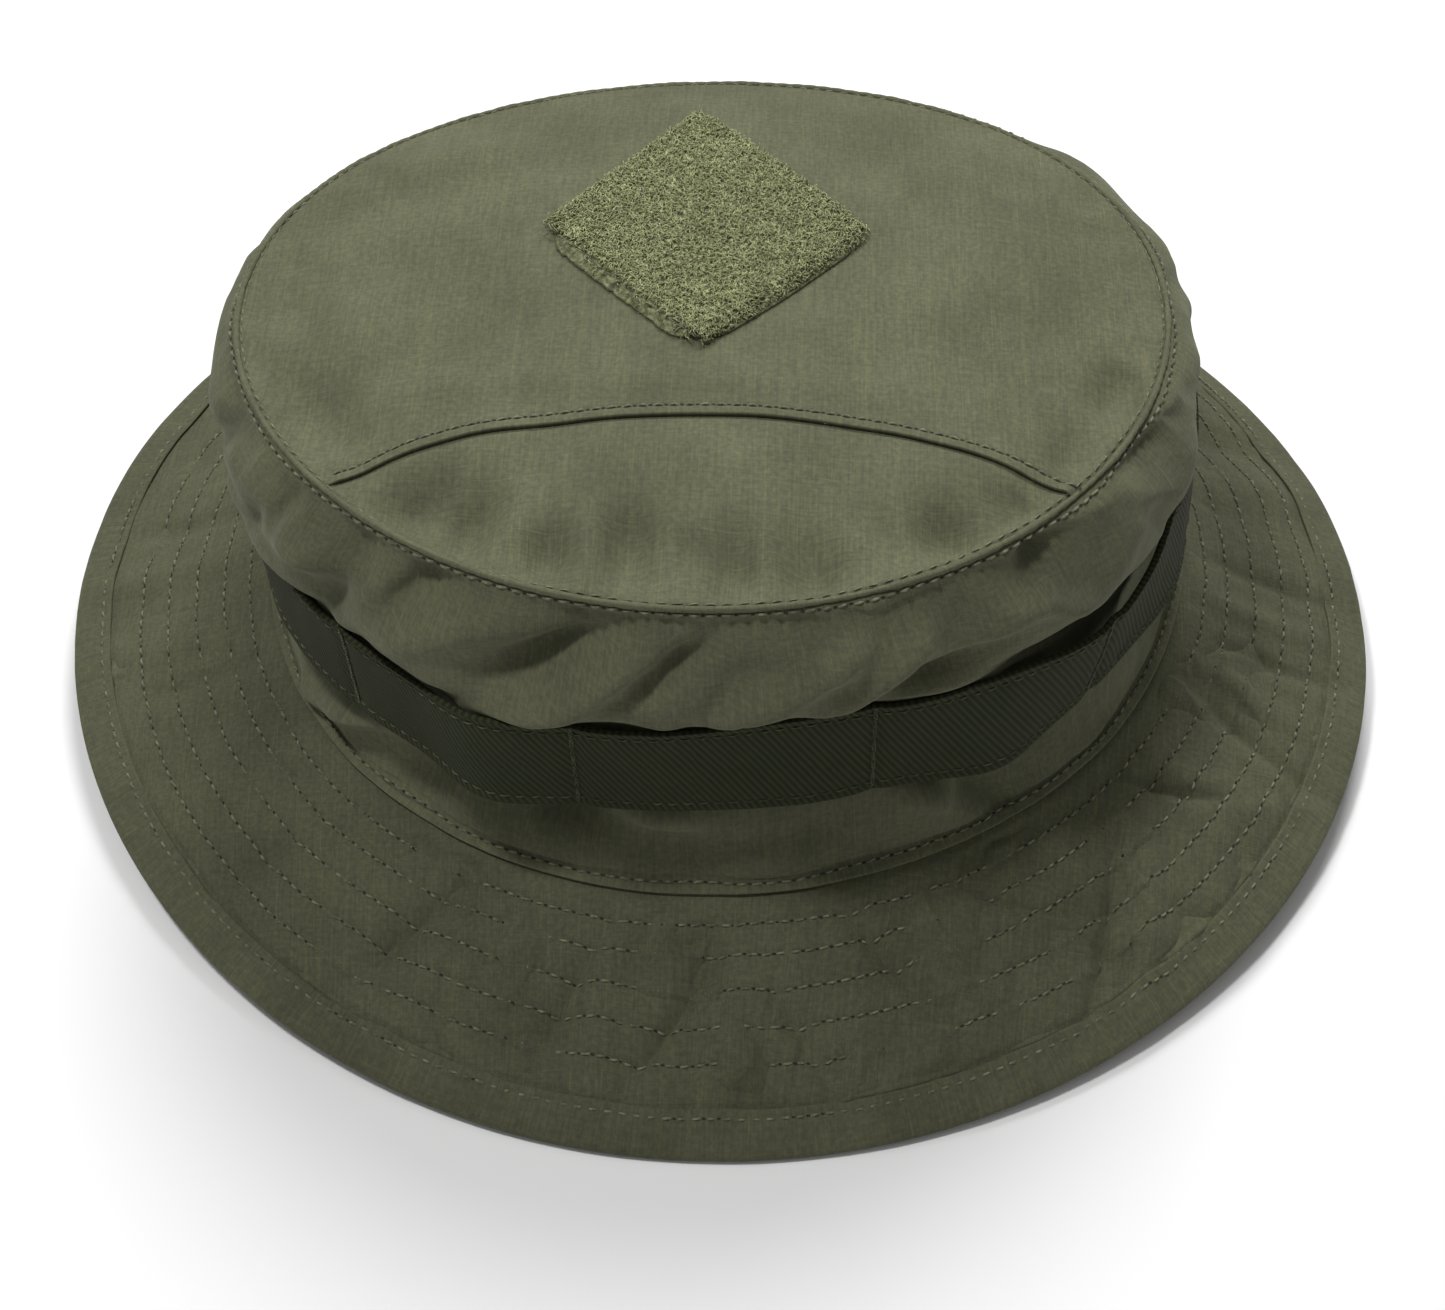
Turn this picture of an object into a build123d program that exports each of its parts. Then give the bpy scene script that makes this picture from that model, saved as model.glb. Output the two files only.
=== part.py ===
from build123d import *
import os
from math import atan2, cos, degrees, hypot, radians, sin

# Boonie hat in millimetres, at rest on a level surface.
# +Z is up, the wearer faces -Y and +X is the wearer's left.
# The origin is on the ground under the middle of the brim.

# ---- driving dimensions -----------------------------------------------------
cloth = 0.8                     # one ply of ripstop
thread = 0.6                    # width of a stitch line
thread_rise = 0.4               # how far a stitch line stands off the cloth

brim_half_width = 148.6         # outline of the brim, across X
depth_ratio = 0.954             # depth over width of the brim and the head opening
opening_half_width = 101.2      # where the crown wall meets the brim
opening_height = 30.5           # height of that seam above the ground
binding_width = 9.4             # folded tape round the brim edge
binding_thickness = 0.7
brim_row_places = (6.8, 13.1, 20.4, 27.9, 35.3)   # down the slope from the crown

tip_half_width = 93.8           # seam between crown wall and crown top
tip_half_depth = 81.2
tip_height = 108.8
tip_lean = -10.5                # the crown top sits forward of the brim
bulge_half_width = 100.7        # widest oval of the wall, above the webbing
bulge_half_depth = 86.4
bulge_height = 96.0
waist_half_width = 99.2         # oval of the wall behind the webbing
waist_half_depth = 90.4
waist_height = 66.0
dome_rise = 8.0                 # crown top above its seam
flat_half_width = 60.0          # level middle of the crown top
flat_half_depth = 62.0
dome_steps = 5

arc_radius = 145.0              # curved seam across the crown top
arc_apex = -43.5                # its rearmost point, along Y

band_width = 25.4               # one inch webbing
band_thickness = 1.2
band_half_width = 104.6
band_half_depth = 96.2
band_middle_height = 64.6
band_tilt = 3.4                 # degrees, higher at the front
band_lean = -2.9
tack_angles = (-136, -106, -76, -43, -13, 20, 50, 82, 112, 142, 176)
tack_width = 2.0
tack_height = 22.0
band_stitch_inset = 1.9         # from the edges of the webbing

patch_half_across = 34.4        # diamond of loop pile, along X and along Y
patch_half_length = 39.2
patch_corner = 4.0
patch_thickness = 2.0
patch_middle = 10.0             # along Y
patch_stitch_inset = 2.5
seam_stitch_gap = 2.0           # from the tip and arc seams to their stitch lines

sweatband_height = 30.0
sweatband_thickness = 1.2
seam_tape_width = 10.0

# ---- worked out from them ---------------------------------------------------
brim_stack = 3 * cloth
brim_half_stack = brim_stack / 2
brim_run = brim_half_width - opening_half_width
edge_half_stack = brim_half_stack + binding_thickness
brim_slope_guess = atan2(opening_height - 2 * edge_half_stack, brim_run)
brim_drop = opening_height - brim_half_stack - edge_half_stack * cos(brim_slope_guess)
brim_slope = atan2(brim_drop, brim_run)
brim_length = hypot(brim_drop, brim_run)
flat_height = tip_height + dome_rise
inside_cloth = -cloth
inside_tape = -2 * cloth
wall_low = opening_height + 0.8   # the wall stands on the inner edge of the brim
turned_edge = 1.5               # how far the brim plies reach under the wall
big_gap = 30.0                  # deeper than the space between wall and webbing
big = 500.0                     # larger than the hat, for cutting tools


# ---- brim: turned about Z, then narrowed to the oval --------------------------
def brim_point(along, above):
    """Point of the brim's section: down the slope, and above its middle ply."""
    radius = opening_half_width + along * cos(brim_slope) + above * sin(brim_slope)
    height = opening_height - brim_half_stack - along * sin(brim_slope) + above * cos(brim_slope)
    return (radius, 0, height)


def brim_ring(section):
    """Oval ring from a list of (along, above) corners."""
    corners = [brim_point(along, above) for along, above in section]
    face = make_face(Polyline(*corners, close=True))
    ring = revolve(face, Axis.Z, 360)
    return scale(ring, by=(1, depth_ratio, 1))


def brim_layer(start, end, low, high):
    return brim_ring([(start, low), (end, low), (end, high), (start, high)])


def stitch_row(along, half_thickness):
    """Needle thread on top of the brim and bobbin thread below it."""
    end = along + thread
    upper = brim_layer(along, end, half_thickness, half_thickness + thread_rise)
    lower = brim_layer(along, end, -half_thickness - thread_rise, -half_thickness)
    return Compound(children=[upper.solid(), lower.solid()])


def edge_binding():
    start = brim_length - binding_width
    inner = brim_length - binding_thickness
    half = brim_half_stack
    outer_half = half + binding_thickness
    return brim_ring([
        (start, half), (inner, half), (inner, -half), (start, -half),
        (start, -outer_half), (brim_length, -outer_half), (brim_length, outer_half), (start, outer_half),
    ])


# ---- crown: lofted through level ovals ----------------------------------------
def oval(half_width, half_depth, height, lean):
    return (Pos(0, lean, height) * Ellipse(half_width, half_depth)).face()


def lean_at(height):
    return tip_lean * (height - opening_height) / (tip_height - opening_height)


def wall_body(offset):
    """Everything inside the crown wall, grown by offset."""
    ovals = (
        (opening_height, opening_half_width, opening_half_width * depth_ratio),
        (waist_height, waist_half_width, waist_half_depth),
        (bulge_height, bulge_half_width, bulge_half_depth),
        (tip_height, tip_half_width, tip_half_depth),
    )
    return loft([oval(a + offset, b + offset, z, lean_at(z)) for z, a, b in ovals])


def dome_body(offset):
    """Everything under the crown top, grown by offset."""
    sections = []
    for step in range(dome_steps):
        turn = radians(90.0 * step / (dome_steps - 1))
        half_width = flat_half_width + (tip_half_width - flat_half_width + offset) * cos(turn)
        half_depth = flat_half_depth + (tip_half_depth - flat_half_depth + offset) * cos(turn)
        height = tip_height + (dome_rise + offset) * sin(turn)
        sections.append(oval(half_width, half_depth, height, tip_lean))
    return loft(sections)


def slab(low, high):
    return Pos(0, 0, (low + high) / 2) * Box(big, big, high - low)


def wall_layer(inner, outer, low, high):
    return (wall_body(outer) - wall_body(inner)) & slab(low, high)


def dome_layer(inner, outer):
    return dome_body(outer) - dome_body(inner)


def front_region(edge=0.0):
    """Upright drum whose rear side is the arc seam, grown by edge."""
    drum = Cylinder(arc_radius + edge, big)
    return Pos(0, arc_apex - arc_radius, tip_height) * drum


# ---- foliage band ---------------------------------------------------------------
def band_place():
    return Pos(0, band_lean, band_middle_height) * Rot(-band_tilt, 0, 0)


def band_ring(inner_inset, outer_inset, low, high):
    """Oval hoop that follows the webbing, between two insets from its outer face."""
    inner = band_half_width - inner_inset
    outer = band_half_width - outer_inset
    corners = [(inner, 0, low), (outer, 0, low), (outer, 0, high), (inner, 0, high)]
    hoop = revolve(make_face(Polyline(*corners, close=True)), Axis.Z, 360)
    return band_place() * scale(hoop, by=(1, band_half_depth / band_half_width, 1))


def foliage_band():
    return band_ring(band_thickness, 0, -band_width / 2, band_width / 2)


def band_edge_stitching():
    """Stitch lines on the outer face, near both edges of the webbing."""
    edge = band_width / 2 - band_stitch_inset
    upper = band_ring(0, -thread_rise, edge - thread, edge)
    lower = band_ring(0, -thread_rise, -edge, thread - edge)
    return Compound(children=[upper.solid(), lower.solid()])


def band_tacks():
    """Upright bar tacks that bridge the gap from the wall to the webbing."""
    gap = band_ring(big_gap, band_thickness, -tack_height / 2, tack_height / 2) - wall_body(0)
    tacks = []
    for angle in tack_angles:
        spoke = Pos(0, -band_half_depth, 0) * Box(tack_width, band_half_depth, big)
        tack = gap & (Pos(0, band_lean, band_middle_height) * Rot(0, 0, angle) * spoke)
        tacks.append(tack.solid())
    return Compound(children=tacks)


# ---- patch ----------------------------------------------------------------------
def patch_plate(inset, low, high):
    """Diamond plate whose sides are drawn in by inset."""
    reach = patch_half_across * patch_half_length / hypot(patch_half_across, patch_half_length)
    share = 1 - inset / reach
    across = patch_half_across * share
    length = patch_half_length * share
    diamond = make_face(Polyline((across, 0), (0, length), (-across, 0), (0, -length), close=True))
    rounded = fillet(diamond.vertices(), patch_corner * share)
    return Pos(0, patch_middle, low) * extrude(rounded, high - low)


def patch_groove():
    """Channel round the patch that its stitches lie in, level with the pile."""
    top = flat_height + patch_thickness
    ring = patch_plate(patch_stitch_inset, top - thread_rise, top)
    return ring - patch_plate(patch_stitch_inset + thread, flat_height, top + 1)


def loop_patch():
    return patch_plate(0, flat_height, flat_height + patch_thickness) - patch_groove()


def patch_stitching():
    return patch_groove()


# ---- seams ------------------------------------------------------------------------
def wall_stitch_ring(height, inner=0.0):
    return wall_layer(inner, inner + thread_rise, height, height + thread)


def arc_seam_stitching():
    """Stitch line on the main panel, behind the arc seam."""
    line = front_region(seam_stitch_gap + thread) - front_region(seam_stitch_gap)
    skin = dome_layer(0, thread_rise) & slab(tip_height + 2 * seam_stitch_gap, flat_height + 5)
    return skin & line


def tip_seam_stitching_upper():
    low = tip_height + seam_stitch_gap
    return dome_layer(0, thread_rise) & slab(low, low + thread)


def back_seam_strip(inner, outer, low, high, width):
    strip = Pos(0, big / 2, 0) * Box(width, big, big)
    return wall_layer(inner, outer, low, high) & strip


def base_seam_stitching():
    """Thread on the crown side and on the brim side of the head opening."""
    crown_side = wall_stitch_ring(opening_height + 3.0)
    brim_side = brim_layer(2.0, 2.0 + thread, brim_half_stack, brim_half_stack + thread_rise)
    return Compound(children=[crown_side.solid(), brim_side.solid()])


def sweatband_stitching():
    inner = inside_tape - sweatband_thickness - thread_rise
    lower = wall_stitch_ring(opening_height + 3.0, inner)
    upper = wall_stitch_ring(opening_height + sweatband_height - 3.0, inner)
    return Compound(children=[lower.solid(), upper.solid()])


# ---- the nodes --------------------------------------------------------------------
def build_parts():
    tape_low = tip_height - seam_tape_width
    front = front_region()
    sweat_outer = inside_tape
    parts = {
        "crown_wall": wall_layer(inside_cloth, 0, wall_low, tip_height),
        "crown_top_panel": dome_layer(inside_cloth, 0) - front,
        "crown_front_panel": dome_layer(inside_cloth, 0) & front,
        "tip_seam_binding": wall_layer(inside_tape, inside_cloth, tape_low, tip_height),
        "back_seam_binding": back_seam_strip(
            inside_tape, inside_cloth, wall_low, tape_low, seam_tape_width),
        "sweatband": wall_layer(
            sweat_outer - sweatband_thickness, sweat_outer, wall_low, wall_low + sweatband_height),
        "loop_patch": loop_patch(),
        "foliage_band": foliage_band(),
        "band_tacks": band_tacks(),
        "brim_upper_ply": brim_layer(
            -turned_edge, brim_length - binding_thickness, cloth / 2, brim_half_stack),
        "brim_interlining": brim_layer(2.0, brim_length - 2.0, -cloth / 2, cloth / 2),
        "brim_under_ply": brim_layer(
            -turned_edge, brim_length - binding_thickness, -brim_half_stack, -cloth / 2),
        "brim_edge_binding": edge_binding(),
        "binding_stitching": stitch_row(
            brim_length - binding_width + 1.2, brim_half_stack + binding_thickness),
        "tip_seam_stitching_upper": tip_seam_stitching_upper(),
        "tip_seam_stitching_lower": wall_stitch_ring(tip_height - 3.0),
        "arc_seam_stitching": arc_seam_stitching(),
        "patch_stitching": patch_stitching(),
        "band_edge_stitching": band_edge_stitching(),
        "base_seam_stitching": base_seam_stitching(),
        "sweatband_stitching": sweatband_stitching(),
        "back_seam_stitching": back_seam_strip(
            0, thread_rise, opening_height + 5.0, tip_height - 5.0, 2 * thread),
    }
    for number, along in enumerate(brim_row_places, start=1):
        parts[f"brim_stitch_row_{number}"] = stitch_row(along, brim_half_stack)
    return parts


os.makedirs("parts", exist_ok=True)
for name, shape in build_parts().items():
    export_step(shape, f"parts/{name}.step")
print("brim width down the slope", round(brim_length, 1), "slope", round(degrees(brim_slope), 1))
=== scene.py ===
from math import cos, pi, radians, sin

import bmesh
import bpy
import numpy as np
from mathutils import Matrix, Vector


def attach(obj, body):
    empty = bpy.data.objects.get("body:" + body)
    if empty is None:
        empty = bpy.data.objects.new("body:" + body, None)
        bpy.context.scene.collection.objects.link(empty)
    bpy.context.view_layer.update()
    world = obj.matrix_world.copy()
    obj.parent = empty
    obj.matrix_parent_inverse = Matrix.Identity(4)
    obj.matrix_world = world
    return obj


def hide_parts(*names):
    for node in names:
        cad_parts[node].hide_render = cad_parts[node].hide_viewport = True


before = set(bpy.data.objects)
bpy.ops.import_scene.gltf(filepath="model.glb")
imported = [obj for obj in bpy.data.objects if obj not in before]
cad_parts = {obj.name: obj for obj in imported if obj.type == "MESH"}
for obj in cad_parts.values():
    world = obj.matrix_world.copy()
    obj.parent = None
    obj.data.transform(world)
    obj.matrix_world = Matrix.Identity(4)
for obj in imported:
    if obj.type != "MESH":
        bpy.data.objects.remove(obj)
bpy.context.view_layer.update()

# Boonie hat. Sizes below are in millimetres, as on the cutting table, and meshes are made in metres.
# Angles round the hat start at the front (-Y) and grow towards +X.
MM = 0.001

# ---- sizes -----------------------------------------------------------------------------
CLOTH = 0.9
BRIM_THICK = 2.2
BRIM_TURNS = 1300                   # columns of the brim's meshes
STIFFENER_HALF = 0.3                # half its thickness
PLY_GAP = 0.35                      # from the brim's middle to the inside of each ply
UNDER_SHARE = 0.4                   # how much of the top's puckers the underside shows
BRIM_EDGE = (148.8, 142.6)          # half width and half depth of the brim's outline
BRIM_MIDDLE = (-0.7, 1.7)
BRIM_EDGE_HEIGHT = 4.85             # mean height of the edge, which dips at front and back
BRIM_EDGE_WAVE = 4.1
OPENING = (101.2, 96.2)             # oval where the crown meets the brim
OPENING_MIDDLE = (1.6, 0.0)
OPENING_HEIGHT = 30.0
BRIM_ROWS = (6.8, 13.1, 20.4, 27.9, 35.3)
BINDING_WIDTH = 10.0
TIP = (93.4, 82.0)                  # oval of the seam round the crown top
TIP_HEIGHT = 108.8
TIP_SLOPE = -0.047
TIP_SIDE = -1.1
TIP_LEAN = -9.2
DOME_RISE = 8.4
ARC_APEX = -46.3                    # curved seam: its rearmost place, depth and half width
ARC_DEPTH = 15.8
ARC_REACH = 71.5
ARC_STITCH = 2.2                    # its stitches run this far behind it
BAND = (103.8, 98.5)
BAND_TOP = 77.2
BAND_SLOPE = -0.059
BAND_WIDTH = 25.4
BAND_THICK = 1.2
BAND_STITCHES = (0.91, 0.08)        # places of its stitch lines, as shares of its width
TACK_ANGLES = (-136, -106, -76, -43, -13, 20, 50, 82, 112, 142, 176)
PATCH_HALF = (34.8, 40.2)           # half diagonals of the loop patch, across and front to back
PATCH_MIDDLE = (-1.8, 10.4)
PATCH_THICK = 1.2                   # of the pile
PATCH_GROUND = 0.7                  # of the woven ground under it
PATCH_STITCH = 2.2                  # its stitches run this far inside its edge
PATCH_CORNER = 4.0
PILE_LOOPS = 15000                  # drawn, before those at the corners and the selvedge are left out
STITCH_PITCH = 3.0
THREAD_RADIUS = 0.28
NEEDLE_HOLE = 0.46


# ---- numbers and noise -------------------------------------------------------------------
def field(u, v, cells_u, cells_v, seed):
    """Smooth random field from -1 to 1. u and v count from 0 to 1 and wrap round."""
    lattice = np.random.RandomState(seed).uniform(-1, 1, (cells_u, cells_v))
    gu = np.mod(u, 1.0) * cells_u
    gv = np.mod(v, 1.0) * cells_v
    iu = np.floor(gu).astype(int)
    iv = np.floor(gv).astype(int)
    fu = gu - iu
    fv = gv - iv
    fu = fu * fu * (3 - 2 * fu)
    fv = fv * fv * (3 - 2 * fv)
    a = lattice[iu % cells_u, iv % cells_v]
    b = lattice[(iu + 1) % cells_u, iv % cells_v]
    c = lattice[iu % cells_u, (iv + 1) % cells_v]
    d = lattice[(iu + 1) % cells_u, (iv + 1) % cells_v]
    return (a * (1 - fu) + b * fu) * (1 - fv) + (c * (1 - fu) + d * fu) * fv


def turn_gap(theta, centre_deg):
    """Angle from centre to theta in degrees, the short way round."""
    return np.mod(np.degrees(theta) - centre_deg + 180.0, 360.0) - 180.0


def bump(x, width):
    return np.exp(-(x / width) ** 2)


def smooth(x, low, high):
    t = np.clip((x - low) / (high - low), 0, 1)
    return t * t * (3 - 2 * t)


def spline(knots, t):
    """Catmull-Rom values at t, which runs from 0 to the number of knots less one."""
    knots = np.asarray(knots, float)
    padded = np.concatenate([[2 * knots[0] - knots[1]], knots, [2 * knots[-1] - knots[-2]]])
    i = np.clip(np.floor(t).astype(int), 0, len(knots) - 2)
    f = t - i
    p0, p1, p2, p3 = padded[i], padded[i + 1], padded[i + 2], padded[i + 3]
    return 0.5 * (2 * p1 + (p2 - p0) * f + (2 * p0 - 5 * p1 + 4 * p2 - p3) * f ** 2
                  + (3 * p1 - p0 - 3 * p2 + p3) * f ** 3)


def grid_normals(points, closed):
    """Unit normals of a grid of points, pointing to the side of u cross v."""
    if closed:
        du = np.roll(points, -1, 0) - np.roll(points, 1, 0)
    else:
        du = np.gradient(points, axis=0)
    dv = np.gradient(points, axis=1)
    normal = np.cross(du, dv)
    length = np.linalg.norm(normal, axis=2, keepdims=True)
    return normal / np.maximum(length, 1e-9)


# ---- meshes ------------------------------------------------------------------------------
def new_object(name, verts, faces, uvs=None, smooth_shade=True):
    mesh = bpy.data.meshes.new(name)
    mesh.from_pydata((np.asarray(verts) * MM).tolist(), [], faces)
    if uvs is not None:
        layer = mesh.uv_layers.new(name="cloth")
        layer.data.foreach_set("uv", np.asarray(uvs, dtype=np.float32).ravel())
    mesh.polygons.foreach_set("use_smooth", [smooth_shade] * len(mesh.polygons))
    obj = bpy.data.objects.new(name, mesh)
    bpy.context.scene.collection.objects.link(obj)
    return obj


def grid_faces(nu, nv, closed, start=0, flip=False, tube=False):
    """Quads of a grid whose vertex (i, j) is start + i * nv + j, and each corner's (i, j).

    A closed grid joins its last column to its first, and a tube its last row to its first too."""
    i, j = np.meshgrid(np.arange(nu if closed else nu - 1), np.arange(nv if tube else nv - 1), indexing="ij")
    i, j = i.ravel(), j.ravel()
    corners_i = np.stack([i, i + 1, i + 1, i], 1)
    corners_j = np.stack([j, j, j + 1, j + 1], 1)
    if flip:
        corners_i, corners_j = corners_i[:, ::-1], corners_j[:, ::-1]
    return start + (corners_i % nu) * nv + corners_j % nv, corners_i, corners_j


def closed_sheet(name, outer, inner, uv, closed):
    """Closed solid between two grids of points. uv has one more column than a closed grid."""
    nu, nv = outer.shape[:2]
    count = nu * nv
    verts = np.concatenate([outer.reshape(-1, 3), inner.reshape(-1, 3)])
    top, ti, tj = grid_faces(nu, nv, closed)
    low, li, lj = grid_faces(nu, nv, closed, count, flip=True)
    faces = [top, low]
    uvs = [uv[ti, tj].reshape(-1, 2), uv[li, lj].reshape(-1, 2)]
    columns = nu if closed else nu - 1
    i = np.arange(columns)
    for j, turned in ((0, False), (nv - 1, True)):
        quad = np.stack([((i + 1) % nu) * nv + j, i * nv + j,
                         count + i * nv + j, count + ((i + 1) % nu) * nv + j], 1)
        where = np.stack([i + 1, i, i, i + 1], 1)
        if turned:
            quad, where = quad[:, ::-1], where[:, ::-1]
        faces.append(quad)
        uvs.append(uv[where, j].reshape(-1, 2))
    if not closed:
        j = np.arange(nv - 1)
        for i, turned in ((0, False), (nu - 1, True)):
            quad = np.stack([i * nv + j, i * nv + j + 1, count + i * nv + j + 1, count + i * nv + j], 1)
            where = np.stack([j, j + 1, j + 1, j], 1)
            if turned:
                quad, where = quad[:, ::-1], where[:, ::-1]
            faces.append(quad)
            uvs.append(uv[i, where].reshape(-1, 2))
    return new_object(name, verts, np.concatenate(faces).tolist(), np.concatenate(uvs))


def weld(obj, distance=1e-6):
    """Join the vertices that fall together where a panel comes to a point."""
    work = bmesh.new()
    work.from_mesh(obj.data)
    bmesh.ops.remove_doubles(work, verts=work.verts, dist=distance)
    bmesh.ops.dissolve_degenerate(work, edges=work.edges, dist=distance)
    work.to_mesh(obj.data)
    work.free()
    return obj


def resample(path, step):
    """Points, at even spacing near step, along a polyline, with the way along it."""
    gaps = np.linalg.norm(np.diff(path, axis=0), axis=1)
    along = np.concatenate([[0], np.cumsum(gaps)])
    count = max(2, int(round(along[-1] / step)))
    places = (np.arange(count) + 0.5) * along[-1] / count
    at = np.stack([np.interp(places, along, path[:, k]) for k in range(3)], 1)
    return at, places, along


def many_tubes(middles, sides_way, ups_way, wides, sides):
    """Vertices and quads of many short capped tubes. middles is (tubes, rings, 3)."""
    count, rings = middles.shape[:2]
    angle = 2 * pi * np.arange(sides) / sides
    around = (sides_way[:, None, None] * (wides[:, None] * np.cos(angle))[None, ..., None]
              + ups_way[:, None, None] * (wides[:, None] * np.sin(angle))[None, ..., None])
    verts = (middles[:, :, None] + around).reshape(-1, 3)
    ring, side = np.meshgrid(np.arange(rings - 1), np.arange(sides), indexing="ij")
    low = (ring * sides + side).ravel()
    low_next = (ring * sides + (side + 1) % sides).ravel()
    quads = np.stack([low, low_next, low_next + sides, low + sides], 1)
    last = (rings - 1) * sides
    caps = [(0, 3, 2, 1), (last, last + 1, last + 2, last + 3)]
    if sides == 6:
        caps += [(0, 5, 4, 3), (last, last + 3, last + 4, last + 5)]
    quads = np.concatenate([quads, np.array(caps)])
    faces = (quads[None] + (np.arange(count) * rings * sides)[:, None, None]).reshape(-1, 4)
    return verts, faces


def stitch_line(name, path, normals, seed, length=2.0, radius=THREAD_RADIUS, pitch=STITCH_PITCH,
                hole=NEEDLE_HOLE, mat=None):
    """Short arched threads, one for each stitch, and a flat dark disc at each needle hole they go down,
    painted as the shade inside the hole.
    """
    at, places, along = resample(path, pitch)
    up = np.stack([np.interp(places, along, normals[:, k]) for k in range(3)], 1)
    up /= np.linalg.norm(up, axis=1, keepdims=True)
    ahead = np.stack([np.interp(places + 0.5, along, path[:, k]) for k in range(3)], 1)
    behind = np.stack([np.interp(places - 0.5, along, path[:, k]) for k in range(3)], 1)
    way = ahead - behind
    way /= np.linalg.norm(way, axis=1, keepdims=True)
    side = np.cross(up, way)
    rng = np.random.RandomState(seed)
    count = len(at)
    own_length = length * rng.uniform(0.85, 1.12, count)
    own_way = way + side * rng.normal(0.05, 0.06, count)[:, None]
    steps = 6
    f = np.arange(steps + 1) / steps - 0.5
    arch = 1 - (2 * f) ** 2
    middles = (at[:, None] + own_way[:, None] * (own_length[:, None] * f)[..., None]
               + up[:, None] * (radius * (1.7 * arch - 0.6))[None, :, None])
    verts, faces = many_tubes(middles, side, up, radius * (0.55 + 0.45 * arch), 6)
    threads = len(faces)
    # each needle hole is a flat dark disc just above the cloth: painted shade where the thread goes down
    if hole:
        holes_at = at + way * pitch / 2 + up * 0.05
        ring = np.array([(cos(a), sin(a)) for a in np.arange(0, 2 * pi, pi / 3)])
        rim = (holes_at[:, None] + way[:, None] * (ring[:, 0] * hole)[None, :, None]
               + side[:, None] * (ring[:, 1] * hole * 0.6)[None, :, None])
        start = len(verts) + np.arange(count)[:, None] * 6
        verts = np.concatenate([verts, rim.reshape(-1, 3)])
        faces = np.concatenate([faces, start + np.array([[0, 1, 2, 3]]), start + np.array([[0, 3, 4, 5]])])
    thread = new_object(name, verts, faces.tolist())
    thread.data.materials.append(mat or THREAD_MAT)
    thread.data.materials.append(HOLE_SHADE_MAT)
    slots = np.zeros(len(faces), dtype=np.int32)
    slots[threads:] = 1
    thread.data.polygons.foreach_set("material_index", slots)
    return thread


def dress(piece, material, slot, *nodes):
    """Give a piece its material, its body and the CAD nodes that it replaces. slot is not used."""
    piece.data.materials.append(material)
    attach(piece, "root")
    if nodes:
        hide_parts(*nodes)


def sew(name, node, path, normals, seed, **looks):
    """Line of stitches that stands for one CAD node of thread."""
    thread = stitch_line(name, path, normals, seed, **looks)
    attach(thread, "root")
    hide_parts(node)


def strip_uv(length, columns, up):
    """Place on the flat cloth of each point of a strip that is this long. up is a row of heights."""
    around = np.linspace(0, length, columns)[:, None]
    return np.stack([around + 0 * up, up + 0 * around], -1) * MM


# ---- shape of the hat ----------------------------------------------------------------------
def outline(theta, half, skew=0.0, three=0.0, three_at=0.0):
    """Oval in plan. skew draws it out along one diagonal, and three on three sides from an angle on."""
    scale = 1 + skew * np.sin(2 * theta) + three * np.cos(3 * (theta - radians(three_at)))
    return half[0] * scale * np.sin(theta), -half[1] * scale * np.cos(theta)


# skew, three and three_at of each outline
BRIM_SHAPE = (0.012, 0.0035, -18.0)
OPENING_SHAPE = (-0.004, 0.006, -22.0)
TIP_SHAPE = (-0.006, 0.014, 13.0)
TIP_BACK_TRIM = 0.045               # the crown top is a little flatter behind


def tip_oval(theta, half):
    x, y = outline(theta, half, *TIP_SHAPE)
    return x, y * (1 - TIP_BACK_TRIM * np.clip(-np.cos(theta), 0, 1))


def tip_curve(theta):
    x, y = tip_oval(theta, TIP)
    x, y = TIP_SIDE + x, TIP_LEAN + y
    return x, y, TIP_HEIGHT + TIP_SLOPE * y


def opening_curve(theta):
    x, y = outline(theta, OPENING, *OPENING_SHAPE)
    return OPENING_MIDDLE[0] + x, OPENING_MIDDLE[1] + y, OPENING_HEIGHT + 0 * x


def brim_edge_curve(theta):
    x, y = outline(theta, BRIM_EDGE, *BRIM_SHAPE)
    z = BRIM_EDGE_HEIGHT + BRIM_EDGE_WAVE * (2 * np.sin(theta) ** 2 - 1)
    return BRIM_MIDDLE[0] + x, BRIM_MIDDLE[1] + y, z


def brim_middle(theta, along):
    """Middle of the brim's thickness. along is 0 at the crown and 1 at the edge."""
    x0, y0, z0 = opening_curve(theta)
    x1, y1, z1 = brim_edge_curve(theta)
    x = x0 + (x1 - x0) * along
    y = y0 + (y1 - y0) * along
    z = z0 + (z1 - z0) * along + 1.2 * np.sin(pi * along) * np.cos(2 * theta + 0.4)
    z = z + brim_folds(theta, along)
    return np.stack([x, y, z], -1)


def brim_normal(theta, along):
    """Unit normals of the brim's middle, on its upper side."""
    step = 0.004
    du = brim_middle(theta + step, along) - brim_middle(theta - step, along)
    dv = brim_middle(theta, along + step) - brim_middle(theta, along - step)
    normal = np.cross(du, dv)
    return normal / np.linalg.norm(normal, axis=-1, keepdims=True)


def brim_reach(theta):
    """Length down the slope of the brim, from the crown to the edge."""
    ones = np.ones(theta.shape)
    return np.linalg.norm(brim_middle(theta, ones) - brim_middle(theta, 0 * ones), axis=-1)


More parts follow.
